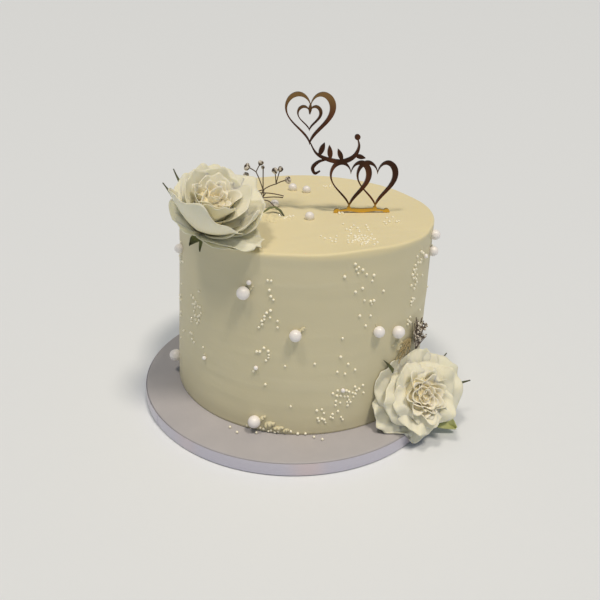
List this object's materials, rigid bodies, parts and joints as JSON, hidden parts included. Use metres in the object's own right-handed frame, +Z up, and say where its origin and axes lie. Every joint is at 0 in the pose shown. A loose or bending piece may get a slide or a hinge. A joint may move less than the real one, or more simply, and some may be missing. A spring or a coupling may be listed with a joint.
{
  "type": "wedding cake",
  "caption": "Single-tier wedding cake in smooth cream icing on a round board, with white roses, sugar pearls and a gold mirror topper of hearts.",
  "frame": {"origin": "centre of the board's underside", "axes": "+Z up through the cake, -Y towards the front that the picture shows, +X to its right"},
  "size_m": [0.2743, 0.254, 0.2504],
  "materials": {
    "board_foil": "fine embossed foil paper, satin, pale silver lilac",
    "ribbon": "satin ribbon, silver lavender",
    "buttercream": "smooth matt buttercream, warm ivory, faint knife marks",
    "sugar_pearl": "pearly white sugar, soft sheen",
    "petal": "soft matt rose petal, cream white with a green tint at the foot",
    "leaf_green": "matt green sepal",
    "dried_sprig": "dry brown stems with grey-cream buds",
    "gold_mirror": "polished gold mirror sheet"
  },
  "bodies": {
    "root": {"board": "board_foil", "board_ribbon": "ribbon", "iced_cake": "buttercream", "pearl_1": "sugar_pearl", "pearl_2": "sugar_pearl", "pearl_3": "sugar_pearl", "pearl_4": "sugar_pearl", "pearl_5": "sugar_pearl", "pearl_6": "sugar_pearl", "pearl_7": "sugar_pearl", "pearl_8": "sugar_pearl", "pearl_9": "sugar_pearl", "pearl_10": "sugar_pearl", "pearl_11": "sugar_pearl", "pearl_12": "sugar_pearl", "pearl_13": "sugar_pearl", "pearl_14": "sugar_pearl", "pearl_15": "sugar_pearl", "pearl_16": "sugar_pearl", "pearl_17": "sugar_pearl", "pearl_18": "sugar_pearl", "rose_top": "petal", "rose_foot": "petal", "calyx_top": "leaf_green", "calyx_foot": "leaf_green", "sprig_top": "dried_sprig", "sprig_foot": "dried_sprig", "topper": "gold_mirror"}
  },
  "joints": []
}
